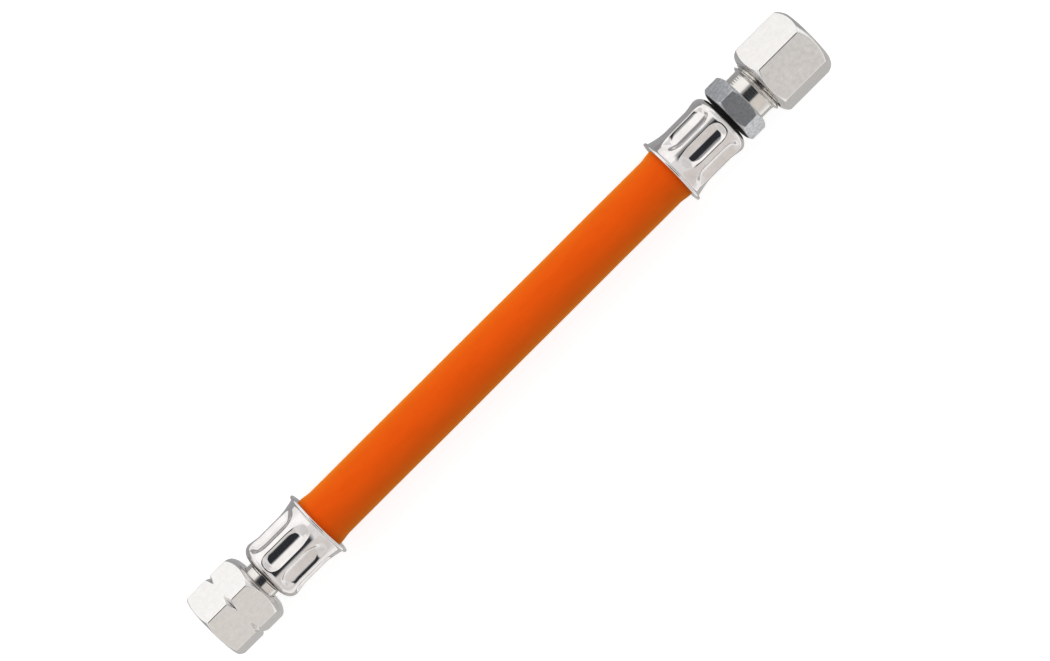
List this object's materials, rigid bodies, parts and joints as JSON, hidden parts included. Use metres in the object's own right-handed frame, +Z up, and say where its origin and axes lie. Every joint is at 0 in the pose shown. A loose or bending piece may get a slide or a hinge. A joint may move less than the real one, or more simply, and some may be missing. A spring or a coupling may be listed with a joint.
{
  "type": "flexible gas hose",
  "caption": "Rubber gas hose with crimped ferrules, a swivel union nut at one end and a threaded stud with cutting ring and union nut at the other.",
  "frame": {"origin": "on the floor below the middle of the hose's length, with the hose lying on the lips of its ferrules", "axes": "+X along the hose towards the stud and its union nut, +Z up"},
  "size_m": [0.1942, 0.0196, 0.0183],
  "materials": {
    "bright_zinc": "bright zinc plate, satin",
    "plain_steel": "turned steel, lightly oiled",
    "bright_sheet": "bright drawn sheet, near mirror",
    "orange_rubber": "matt orange rubber, finely mottled",
    "dark_zinc": "darker grey zinc plate with fine scratches"
  },
  "bodies": {
    "root": {"swivel_nipple": "plain_steel", "swivel_ferrule": "bright_sheet", "hose": "orange_rubber", "stud_ferrule": "bright_sheet", "threaded_stud": "dark_zinc"},
    "swivel_nut": {"swivel_nut": "bright_zinc"},
    "cutting_ring": {"cutting_ring": "plain_steel"},
    "union_nut": {"union_nut": "bright_zinc"}
  },
  "joints": [
    {"name": "swivel_nut_turn", "type": "hinge", "parent": "root", "child": "swivel_nut", "pos_m": [-0.0895, 0, 0.00915], "axis": [1, 0, 0], "continuous": true},
    {"name": "ring_slide", "type": "slide", "parent": "root", "child": "cutting_ring", "axis": [1, 0, 0], "range_m": [0, 0.0075]},
    {"name": "union_nut_turn", "type": "hinge", "parent": "cutting_ring", "child": "union_nut", "pos_m": [0.0893, 0, 0.00915], "axis": [1, 0, 0], "range_deg": [0, 1800]}
  ],
  "couplings": [
    {"joint": "ring_slide", "follows": "union_nut_turn", "m_per_rad": 0.00023873}
  ]
}
